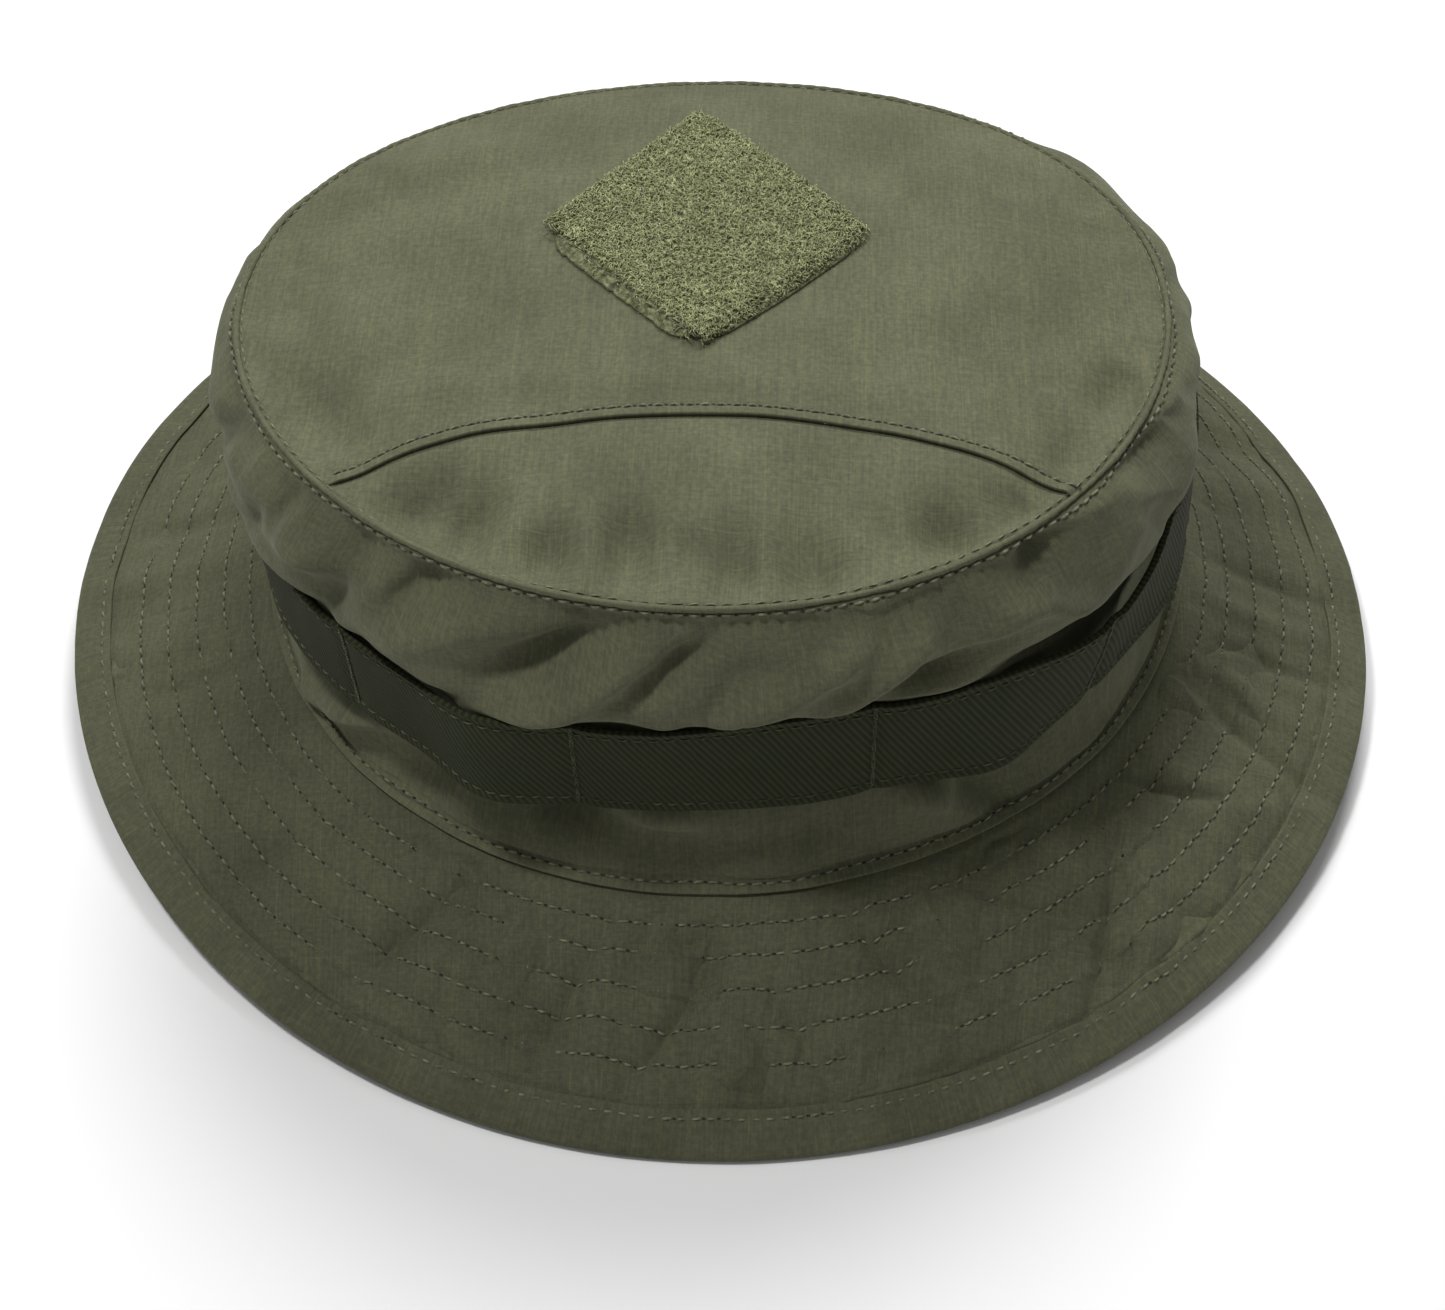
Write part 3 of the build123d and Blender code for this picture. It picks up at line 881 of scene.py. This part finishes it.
# ---- foliage band ----------------------------------------------------------------------------
BAND_LOOPS = (
    # angle, half width, and how far the upper and the lower edge stand out there
    (-58, 8, -1.0, 0.0),
    (-88, 22, -3.4, -2.4),
    (-46, 7, -0.4, 0.0),
    (-23, 7, 3.6, 5.2),
    (4, 8, -1.4, -0.8),
    (16, 12, -3.6, -1.4),
    (34, 7, -0.6, 4.2),
    (48, 8, 2.2, 0.6),
    (70, 8, -2.4, 1.6),
    (84, 9, -2.0, 1.6),
    (100, 12, -1.5, 0.0),
    (122, 12, 1.2, 2.0),
    (160, 10, 0.8, 1.4),
    (-155, 12, 1.0, 2.0),
)
BAND_BACK_TRIM = 0.055              # the webbing lies closer to the crown behind


def band_point(theta, up):
    """Outer face of the webbing. up runs from 0 at its lower edge to 1 at its upper edge."""
    out = 0.0
    for angle, width, top_rise, low_rise in BAND_LOOPS:
        out = out + (low_rise + (top_rise - low_rise) * up) * bump(turn_gap(theta, angle), width)
    for angle in TACK_ANGLES:
        out = out - 0.6 * bump(turn_gap(theta, angle), 1.2)
    turn = theta / (2 * pi)
    out = out + 0.45 * field(turn, 0.5 * up, 26, 3, 111) + 0.12 * field(turn, up, 120, 4, 112)
    out = out - 2.0 * (1 - up)
    x, y = outline(theta, BAND)
    y = y * (1 - BAND_BACK_TRIM * np.clip(-np.cos(theta), 0, 1))
    x = x + out * np.sin(theta)
    y = y - out * np.cos(theta)
    edge = 0.7 * field(turn, 0.1, 30, 3, 113) * (1 - up)
    z = BAND_TOP + BAND_SLOPE * y - BAND_WIDTH * (1 - up) + edge
    return np.stack([x, y, z], -1)


def build_band(mat):
    turns, rows = 1600, 40
    theta = np.linspace(0, 2 * pi, turns, endpoint=False)[:, None]
    up = np.linspace(0, 1, rows)[None, :]
    outer = band_point(theta, up)
    normal = grid_normals(outer, True)
    rim = 0.35 * bump(1 - up, 0.035) + 0.3 * bump(up, 0.045)
    for place in BAND_STITCHES:
        rim = rim - 0.22 * bump(up - place, 0.02)
    outer = outer + normal * (rim + 0 * theta)[..., None]
    inner = outer - normal * BAND_THICK
    uv = strip_uv(632.0, turns + 1, BAND_WIDTH * up)
    band = closed_sheet("foliage_webbing", outer, inner, uv, True)
    dress(band, mat, "webbing", "foliage_band")
    closed = np.linspace(0, 2 * pi, turns + 1)
    out = outward(closed)
    for name, place in zip(("band_stitches_upper", "band_stitches_lower"), BAND_STITCHES):
        at = band_point(closed, np.full(turns + 1, place))
        sew(name, "band_edge_stitching", at - out * 0.1, out, 121, radius=0.15, hole=0.2, mat=BAND_THREAD_MAT)
    steps = 56                       # of a bar tack's zigzag
    for number, angle in enumerate(TACK_ANGLES, start=1):
        up = np.linspace(0.03, 0.99, steps)
        swing = radians(angle) + radians(0.36) * (np.arange(steps) % 2 - 0.5)
        out = outward(swing)
        sew(f"band_tack_{number}", "band_tacks", band_point(swing, up) + out * 0.1, out, 130 + number,
            length=1.0, pitch=0.7, radius=0.15, hole=0, mat=BAND_THREAD_MAT)


# ---- loop patch ------------------------------------------------------------------------------
def patch_place(a, b):
    """Point of the patch from -1 to 1 along its two sides."""
    back = (a + b) / 2
    x = PATCH_MIDDLE[0] + PATCH_HALF[0] * (a - b) / 2 - 3.5 * np.maximum(back, 0) ** 2
    y = PATCH_MIDDLE[1] + PATCH_HALF[1] * back - 5.0 * (1 - back ** 2)
    return x, y, top_height(x, y)


def build_patch(ground_mat, loop_mat):
    """Diamond of loop pile on a woven ground that shows along its left selvedge."""
    side_length = np.hypot(*PATCH_HALF)
    half = side_length / 2
    count = 150
    s = np.linspace(-1, 1, count)
    u, v = np.meshgrid(s, s, indexing="ij")
    corner = 0.34
    round_u = 1 - 0.34 * corner * smooth(np.abs(v), 1 - corner, 1.0) ** 2
    round_v = 1 - 0.34 * corner * smooth(np.abs(u), 1 - corner, 1.0) ** 2
    ragged = 0.012 * field(v / 2 + 0.5, u * 0.1, 40, 3, 143) * np.abs(u)
    x, y, ground = patch_place(u * round_u + ragged, v * round_v + ragged)
    edge = np.minimum(1 - np.abs(u), 1 - np.abs(v)) * half
    p, q = u / 2 + 0.5, v / 2 + 0.5
    rough = 0.30 * field(p, q, 52, 52, 141) + 0.25 * field(p, q, 90, 90, 142)
    selvedge = smooth((u + 1) * half, 0.0, 2.6)
    pile = PATCH_THICK * smooth(edge, 0.2, 2.0) + (0.2 + rough) * smooth(edge, 0.8, 2.4) * selvedge
    pile = pile - 0.5 * bump(edge - PATCH_STITCH, 0.8)
    outer = np.stack([x, y, ground + PATCH_GROUND + pile], -1)
    inner = np.stack([x, y, ground + 0.05], -1)
    uv = np.stack([u, v], -1) * half * MM
    dress(closed_sheet("loop_patch_ground", outer, inner, uv, False), ground_mat, "loop_pile", "loop_patch")
    build_loops(half, loop_mat)
    side = 1 - PATCH_STITCH / half
    square = side * np.array([(-1, -1), (1, -1), (1, 1), (-1, 1), (-1, -1)])
    sides = [np.linspace(square[k], square[k + 1], 40, endpoint=False) for k in range(4)]
    path = np.concatenate(sides + [square[-1:]])
    px, py, pz = patch_place(path[:, 0], path[:, 1])
    at = np.stack([px, py, pz + PATCH_GROUND + PATCH_THICK - 0.3], -1)
    up = np.tile(np.array([[0, 0, 1.0]]), (len(px), 1))
    sew("patch_stitches", "patch_stitching", at, up, 150, radius=0.2, hole=0)


def build_loops(half, mat):
    """Tangled loops of yarn that make the pile, thinner along the selvedge."""
    rng = np.random.RandomState(151)
    count = PILE_LOOPS
    a = rng.uniform(-half + 0.5, half - 0.5, count)
    b = rng.uniform(-half + 0.5, half - 0.5, count)
    edge = np.minimum(half - np.abs(a), half - np.abs(b))
    past_a, past_b = (np.maximum(np.abs(c) - half + PATCH_CORNER, 0) for c in (a, b))
    rounded = np.hypot(past_a, past_b) < PATCH_CORNER
    keep = rounded & ((a > -half + 2.8) | (rng.uniform(size=count) < 0.12))
    keep &= (np.abs(edge - PATCH_STITCH) > 0.6) | (rng.uniform(size=count) < 0.5)
    a, b, edge = a[keep], b[keep], edge[keep]
    count = len(a)
    x, y, ground = patch_place(a / half, b / half)
    height = rng.uniform(0.5, 1.25, count) * (0.5 + 0.5 * np.minimum(edge / 2.0, 1))
    wide = rng.uniform(0.35, 0.8, count)
    spin = rng.uniform(0, 2 * pi, count)
    lean = rng.normal(0, 0.45, (count, 2))
    arc = np.linspace(0, pi, 6)
    across = np.cos(arc)[None] * wide[:, None]
    rise = np.sin(arc)[None] * height[:, None]
    px = x[:, None] + across * np.cos(spin)[:, None] + rise * lean[:, :1]
    py = y[:, None] + across * np.sin(spin)[:, None] + rise * lean[:, 1:]
    pz = ground[:, None] + PATCH_GROUND + PATCH_THICK * smooth(edge, 0.2, 2.0)[:, None] - 0.1 + rise
    side = np.stack([-np.sin(spin), np.cos(spin), np.zeros(count)], -1)
    up = np.cross(side, np.stack([np.cos(spin), np.sin(spin), np.full(count, 0.35)], -1))
    verts, faces = many_tubes(np.stack([px, py, pz], -1), side, up, np.full(6, 0.11), 4)
    dress(new_object("loop_pile_yarn", verts, faces.tolist()), mat, "loop_pile")


# ---- materials ---------------------------------------------------------------------------------
RIPSTOP_PITCH = 0.0062              # in metres, as the cloth's own coordinates are
RIB_PITCH = 0.00125
RIB_TURN = radians(60.0)
SHEEN_TINT = (0.8, 0.85, 0.6, 1)


class Nodes:
    """Short names for building a material's node tree."""

    def __init__(self, name):
        self.mat = bpy.data.materials.new(name)
        self.mat.use_nodes = True
        self.tree = self.mat.node_tree
        self.shader = self.tree.nodes["Principled BSDF"]

    def add(self, kind, **settings):
        node = self.tree.nodes.new(kind)
        for key, value in settings.items():
            setattr(node, key, value)
        return node

    def link(self, source, target):
        self.tree.links.new(source, target)

    def math(self, operation, first, second=None):
        node = self.add("ShaderNodeMath", operation=operation)
        for socket, value in zip(node.inputs, (first, second)):
            if value is None:
                continue
            if isinstance(value, (int, float)):
                socket.default_value = value
            else:
                self.link(value, socket)
        return node.outputs[0]

    def cloth_uv(self, scale=(1, 1, 1), turn=0.0):
        uv = self.add("ShaderNodeUVMap", uv_map="cloth")
        place = self.add("ShaderNodeMapping")
        place.inputs["Scale"].default_value = scale
        place.inputs["Rotation"].default_value = (0, 0, turn)
        self.link(uv.outputs[0], place.inputs["Vector"])
        return place.outputs[0]

    def noise(self, vector, scale, detail=3.0, rough=0.55):
        node = self.add("ShaderNodeTexNoise")
        node.inputs["Scale"].default_value = scale
        node.inputs["Detail"].default_value = detail
        node.inputs["Roughness"].default_value = rough
        self.link(vector, node.inputs["Vector"])
        return node.outputs["Fac"]

    def ramp(self, value, low, high, to_low=0.0, to_high=1.0):
        node = self.add("ShaderNodeMapRange", interpolation_type="SMOOTHSTEP")
        self.link(value, node.inputs["Value"])
        for name, number in (("From Min", low), ("From Max", high), ("To Min", to_low), ("To Max", to_high)):
            node.inputs[name].default_value = number
        return node.outputs["Result"]

    def mix(self, factor, first, second, blend="MIX"):
        node = self.add("ShaderNodeMix", data_type="RGBA", blend_type=blend)
        for index, value in ((0, factor), (6, first), (7, second)):
            socket = node.inputs[index]
            if isinstance(value, (int, float, tuple)):
                socket.default_value = value
            else:
                self.link(value, socket)
        return node.outputs[2]

    def tint(self, factor, colour, by):
        """Multiply a colour by another where the factor is 1."""
        return self.mix(factor, colour, self.mix(1.0, colour, by + (1,), "MULTIPLY"))

    def spot(self):
        return self.add("ShaderNodeTexCoord").outputs["Object"]

    def bump(self, height, strength, distance):
        node = self.add("ShaderNodeBump")
        node.inputs["Strength"].default_value = strength
        node.inputs["Distance"].default_value = distance
        self.link(height, node.inputs["Height"])
        return node.outputs["Normal"]

    def finish(self, colour, normal, roughness, sheen):
        self.link(colour, self.shader.inputs["Base Color"])
        self.link(normal, self.shader.inputs["Normal"])
        self.shader.inputs["Roughness"].default_value = roughness
        self.shader.inputs["Specular IOR Level"].default_value = 0.25
        self.shader.inputs["Sheen Weight"].default_value = sheen
        self.shader.inputs["Sheen Roughness"].default_value = 0.5
        self.shader.inputs["Sheen Tint"].default_value = SHEEN_TINT
        return self.mat


def shade(colour, factor):
    return tuple(c * factor for c in colour[:3]) + (1,)


def grid_line(nodes, coordinate, pitch, width):
    """1 on a ripstop thread and 0 between, for one direction."""
    place = nodes.math("FRACT", nodes.math("DIVIDE", coordinate, pitch))
    gap = nodes.math("ABSOLUTE", nodes.math("SUBTRACT", place, 0.5))
    return nodes.ramp(gap, 0.5 - width, 0.5)


def ripstop(name, colour):
    """Plain weave of uneven threads, with a thicker thread every 6 mm each way."""
    nodes = Nodes(name)
    uv = nodes.cloth_uv()
    split = nodes.add("ShaderNodeSeparateXYZ")
    nodes.link(uv, split.inputs[0])
    warp, weft = (grid_line(nodes, split.outputs[k], RIPSTOP_PITCH, 0.05) for k in (0, 1))
    slub_warp = nodes.noise(nodes.cloth_uv((2100, 110, 1)), 1.0, 2.0)
    slub_weft = nodes.noise(nodes.cloth_uv((110, 2100, 1)), 1.0, 2.0)
    long_warp = nodes.noise(nodes.cloth_uv((700, 18, 1)), 1.0, 2.0)
    cloudy = nodes.noise(uv, 34.0, 5.0, 0.6)
    patchy = nodes.noise(uv, 900.0, 4.0, 0.7)
    lines = nodes.math("ADD", nodes.math("MULTIPLY", warp, nodes.ramp(slub_warp, 0.42, 0.62)),
                       nodes.math("MULTIPLY", weft, nodes.ramp(slub_weft, 0.50, 0.68, 0, 0.35)))
    tone = nodes.mix(nodes.ramp(cloudy, 0.3, 0.7), shade(colour, 0.86), shade(colour, 1.14))
    tone = nodes.tint(nodes.ramp(slub_warp, 0.3, 0.7, 0, 0.6), tone, (0.72, 0.72, 0.75))
    tone = nodes.tint(nodes.ramp(slub_weft, 0.3, 0.7, 0, 0.5), tone, (1.22, 1.21, 1.18))
    tone = nodes.tint(nodes.ramp(long_warp, 0.45, 0.75, 0, 0.5), tone, (1.22, 1.16, 1.06))
    tone = nodes.tint(nodes.ramp(patchy, 0.36, 0.66, 0, 0.8), tone, (1.42, 1.38, 1.26))
    tone = nodes.tint(nodes.math("MULTIPLY", lines, 0.6), tone, (1.55, 1.50, 1.40))
    weave = nodes.math("ADD", slub_warp, slub_weft)
    height = nodes.math("ADD", nodes.math("MULTIPLY", weave, 0.6), nodes.math("MULTIPLY", lines, 0.5))
    normal = nodes.bump(height, 0.45, 0.0003)
    return nodes.finish(tone, normal, 0.88, 0.10)


def twill(name, colour):
    """Webbing with steep diagonal ribs."""
    nodes = Nodes(name)
    ribs = nodes.cloth_uv((1, 1, 1), RIB_TURN)
    split = nodes.add("ShaderNodeSeparateXYZ")
    nodes.link(ribs, split.inputs[0])
    wave = nodes.math("SINE", nodes.math("MULTIPLY", split.outputs[1], 2 * pi / RIB_PITCH))
    rib = nodes.ramp(wave, -0.9, 0.9)
    fibres = nodes.noise(nodes.cloth_uv((1500, 700, 1)), 1.0, 3.0)
    cloudy = nodes.noise(nodes.cloth_uv(), 60.0, 3.0)
    tone = nodes.mix(rib, shade(colour, 0.60), shade(colour, 1.25))
    tone = nodes.tint(nodes.ramp(fibres, 0.3, 0.7, 0, 0.5), tone, (1.3, 1.3, 1.25))
    tone = nodes.tint(nodes.ramp(cloudy, 0.35, 0.7, 0, 0.4), tone, (0.8, 0.85, 0.8))
    normal = nodes.bump(nodes.math("ADD", rib, nodes.math("MULTIPLY", fibres, 0.4)), 0.6, 0.0004)
    return nodes.finish(tone, normal, 0.85, 0.0)


def plain_weave(name, colour, scale=1.0, contrast=0.25):
    nodes = Nodes(name)
    warp = nodes.noise(nodes.cloth_uv((2400 * scale, 300 * scale, 1)), 1.0, 2.0)
    weft = nodes.noise(nodes.cloth_uv((300 * scale, 2400 * scale, 1)), 1.0, 2.0)
    cloudy = nodes.noise(nodes.cloth_uv(), 90.0, 4.0)
    mixed = nodes.math("MULTIPLY", nodes.math("ADD", warp, weft), 0.5)
    tone = nodes.mix(nodes.ramp(mixed, 0.35, 0.65), shade(colour, 1 - contrast), shade(colour, 1 + contrast))
    tone = nodes.tint(nodes.ramp(cloudy, 0.35, 0.7, 0, 0.5), tone, (0.88, 0.88, 0.88))
    return nodes.finish(tone, nodes.bump(mixed, 0.4, 0.0003), 0.9, 0.12)


def pile(name, colour, dark, light):
    """Yarn in small curls, darker in clumps."""
    nodes = Nodes(name)
    spot = nodes.spot()
    curls = nodes.noise(spot, 1100.0, 3.0, 0.6)
    clumps = nodes.noise(spot, 260.0, 3.0)
    tone = nodes.mix(nodes.ramp(curls, 0.36, 0.66), shade(colour, dark), shade(colour, light))
    tone = nodes.tint(nodes.ramp(clumps, 0.35, 0.65, 0, 0.7), tone, (0.70, 0.70, 0.64))
    return nodes.finish(tone, nodes.bump(curls, 0.6, 0.0005), 0.95, 0.3)


def flecked(name, colour, scale, spread, tones, roughness, sheen):
    """One colour with fine flecks. spread and tones each hold a low and a high value."""
    nodes = Nodes(name)
    flecks = nodes.noise(nodes.spot(), scale, 3.0)
    tone = nodes.mix(nodes.ramp(flecks, *spread), shade(colour, tones[0]), shade(colour, tones[1]))
    return nodes.finish(tone, nodes.bump(flecks, 0.3, 0.0002), roughness, sheen)


def thread_material(name, colour):
    return flecked(name, colour, 700.0, (0.35, 0.68), (0.6, 1.35), 0.75, 0.2)


OLIVE = (0.088, 0.0925, 0.056)
THREAD_MAT = thread_material("sewing_thread", (0.150, 0.150, 0.098))
BAND_THREAD_MAT = thread_material("band_thread", (0.082, 0.087, 0.048))
# colour of the needle-hole discs: painted shade, not the cloth's own colour
HOLE_SHADE_MAT = flecked("needle_hole_painted_shade", (0.026, 0.028, 0.017), 900.0, (0.3, 0.7), (0.7, 1.3), 0.95, 0.0)
STIFFENER_MAT = plain_weave("stiffener_cloth", (0.50, 0.48, 0.42))
LINING_MAT = plain_weave("lining_tape", (0.080, 0.084, 0.052), 0.8, 0.3)


# ---- camera, light and floor -------------------------------------------------------------------
CAMERA_TURNS = (2.785, 50.0, -0.789)    # azimuth, elevation and roll, in degrees
CAMERA_TARGET = (2.3, -27.9, 23.8)
CAMERA_DISTANCE = 582.2
CAMERA_LENS = 65.5
LIGHT_TARGET = (0, 0, 50)
FLOOR_HALF = 3000.0


def build_camera():
    azimuth, elevation, roll = (radians(angle) for angle in CAMERA_TURNS)
    back = Vector((sin(azimuth) * cos(elevation), -cos(azimuth) * cos(elevation), sin(elevation)))
    level = Vector((cos(azimuth), sin(azimuth), 0))
    above = back.cross(level)
    right = level * cos(roll) + above * sin(roll)
    up = above * cos(roll) - level * sin(roll)
    place = (Vector(CAMERA_TARGET) + back * CAMERA_DISTANCE) * MM
    data = bpy.data.cameras.new("camera")
    data.sensor_width = 36.0
    data.lens = CAMERA_LENS
    camera = bpy.data.objects.new("camera", data)
    camera.matrix_world = Matrix((
        (right.x, up.x, back.x, place.x), (right.y, up.y, back.y, place.y),
        (right.z, up.z, back.z, place.z), (0, 0, 0, 1)))
    bpy.context.scene.collection.objects.link(camera)
    bpy.context.scene.camera = camera


def area_light(name, place, size, power):
    """Round lamp that faces the middle of the hat."""
    data = bpy.data.lights.new(name, "AREA")
    data.shape = "DISK"
    data.size = size
    data.energy = power
    light = bpy.data.objects.new(name, data)
    light.location = place
    aim = Vector(LIGHT_TARGET) * MM - Vector(place)
    light.rotation_euler = aim.to_track_quat("-Z", "Y").to_euler()
    bpy.context.scene.collection.objects.link(light)


def build_studio():
    area_light("back_light", (0.12, 0.66, 1.05), size=0.5, power=10.2)
    area_light("front_light", (-0.26, -0.18, 1.04), size=0.14, power=5.0)
    world = bpy.data.worlds.new("studio")
    world.use_nodes = True
    tree = world.node_tree
    split = tree.nodes.new("ShaderNodeSeparateXYZ")
    fade = tree.nodes.new("ShaderNodeMapRange")
    place = tree.nodes.new("ShaderNodeTexCoord")
    tree.links.new(place.outputs["Generated"], split.inputs[0])
    tree.links.new(split.outputs[2], fade.inputs["Value"])
    fade.inputs["To Min"].default_value = 0.02
    fade.inputs["To Max"].default_value = 0.46
    tree.nodes["Background"].inputs[0].default_value = (1, 1, 1, 1)
    tree.links.new(fade.outputs[0], tree.nodes["Background"].inputs[1])
    bpy.context.scene.world = world
    corners = [(x * FLOOR_HALF, y * FLOOR_HALF, 0) for x, y in ((-1, -1), (1, -1), (1, 1), (-1, 1))]
    floor = new_object("studio_floor", corners, [(0, 1, 2, 3)], smooth_shade=False)
    nodes = Nodes("floor_white")
    nodes.shader.inputs["Base Color"].default_value = (0.90, 0.90, 0.90, 1)
    nodes.shader.inputs["Roughness"].default_value = 0.9
    floor.data.materials.append(nodes.mat)
    bpy.context.scene.view_settings.view_transform = "Standard"


# ---- whole hat ---------------------------------------------------------------------------------
build_camera()
build_studio()
top_cloth = ripstop("olive_ripstop", OLIVE)
# The brim's plies and its edge tape use the crown's ripstop painted 18 % darker: painted shade for the light
# that reaches the brim less than the crown top.
brim_cloth_painted_shade = ripstop("olive_ripstop_brim_painted_shade", shade(OLIVE, 0.82))
webbing = twill("dark_olive_webbing", (0.026, 0.0305, 0.0115))
pile_ground = pile("loop_pile_ground", (0.180, 0.192, 0.100), 0.5, 1.3)
build_brim(brim_cloth_painted_shade)
build_wall(top_cloth)
build_top(top_cloth)
build_tip_ridge(top_cloth)
build_band(webbing)
build_patch(pile_ground, pile("loop_pile_yarn", (0.345, 0.362, 0.188), 0.6, 1.4))
